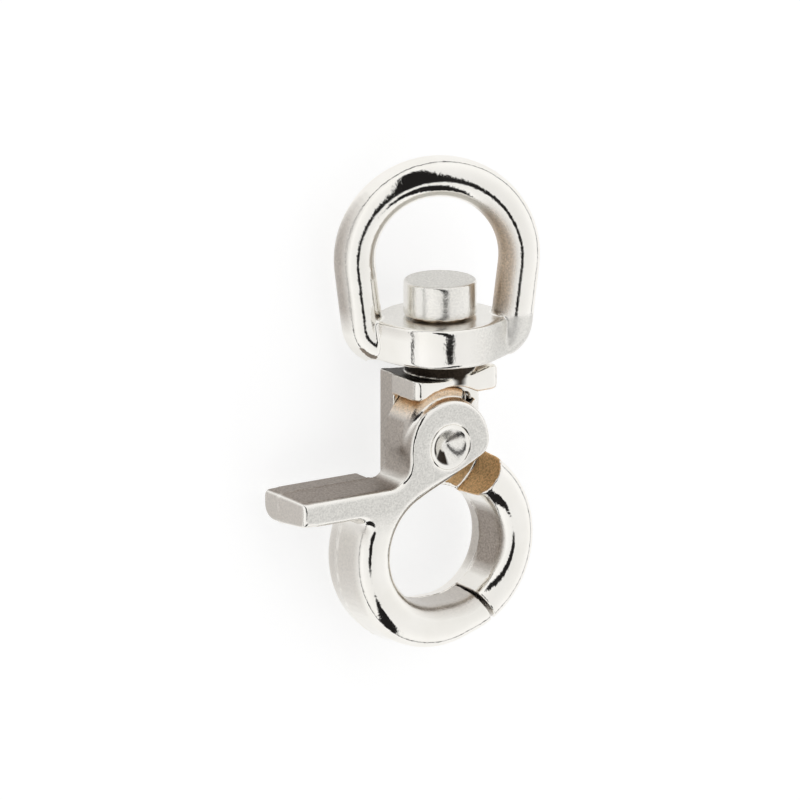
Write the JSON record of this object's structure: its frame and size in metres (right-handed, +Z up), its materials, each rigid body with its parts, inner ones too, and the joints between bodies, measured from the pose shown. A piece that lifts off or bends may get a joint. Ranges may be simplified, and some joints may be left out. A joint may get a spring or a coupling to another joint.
{
  "type": "swivel lever snap",
  "caption": "Swivel lever snap: pressing the thumb piece opens the round jaw against a coil spring, and the strap eye turns on a headed stem.",
  "frame": {"origin": "middle of the snap's box on the surface that it lies on", "axes": "+Y runs from the jaw to the eye, +Z up and out of the side that the rivet and lever show, +X to the right of the body, with the thumb piece towards -X"},
  "size_m": [0.0326, 0.0566, 0.0148],
  "materials": {
    "eye_plating": "bright nickel plate over a polished die casting",
    "body_plating": "bright nickel plate, left grainy on the stem's end, in the step and under the roof",
    "lever_plating": "bright nickel plate, finely grained on the flat faces",
    "rivet_plating": "polished nickel plate in the dished end",
    "spring_wire": "drawn steel wire"
  },
  "bodies": {
    "snap_body": {"body": "body_plating", "pivot_rivet": "rivet_plating", "closing_spring": "spring_wire"},
    "eye": {"swivel_eye": "eye_plating"},
    "lever": {"lever": "lever_plating"}
  },
  "joints": [
    {"name": "eye_swivel", "type": "hinge", "parent": "snap_body", "child": "eye", "pos_m": [0.00512, 0.0074, 0.00734], "axis": [-0.0036, 0.9957, 0.0921], "continuous": true},
    {"name": "lever_pivot", "type": "hinge", "parent": "snap_body", "child": "lever", "pos_m": [0.00391, -0.00465, 0.00618], "axis": [0.0386, 0.0922, -0.995], "range_deg": [0, 30], "stiffness_Nm_per_rad": 0.15, "springref_deg": -34.38, "deforming": ["closing_spring"]}
  ]
}
